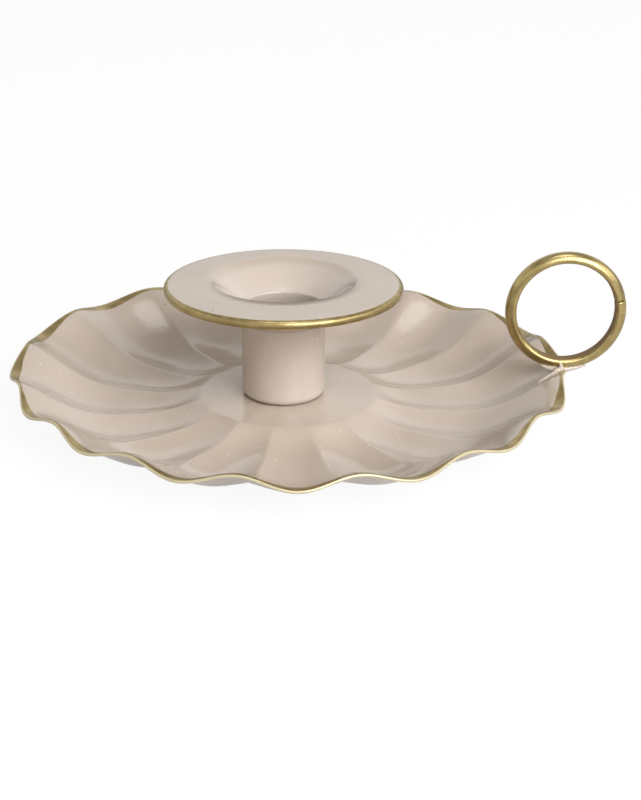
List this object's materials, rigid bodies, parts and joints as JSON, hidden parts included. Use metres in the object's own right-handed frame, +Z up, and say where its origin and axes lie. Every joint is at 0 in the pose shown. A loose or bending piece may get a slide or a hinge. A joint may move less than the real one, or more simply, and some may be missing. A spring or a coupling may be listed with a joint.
{
  "type": "chamberstick",
  "caption": "Chamberstick: candle cup under a wide drip pan, on a fluted scalloped saucer with an upright finger loop at its rim.",
  "frame": {"origin": "middle of the whole footprint, saucer and finger loop together, at the height of the table", "axes": "+Z up along the candle, +X from the candle cup towards the finger loop"},
  "size_m": [0.1778, 0.162, 0.0474],
  "materials": {
    "enamel": "gloss",
    "painted_solder": "gloss",
    "loop_brass": "satin",
    "rivet_steel": "satin"
  },
  "bodies": {
    "root": {"dish": "enamel", "candle_cup": "enamel", "drip_pan": "enamel", "collar_solder": "painted_solder", "finger_loop": "loop_brass", "loop_solder": "painted_solder", "centre_rivet": "rivet_steel", "rivet_washer": "rivet_steel"}
  },
  "joints": []
}
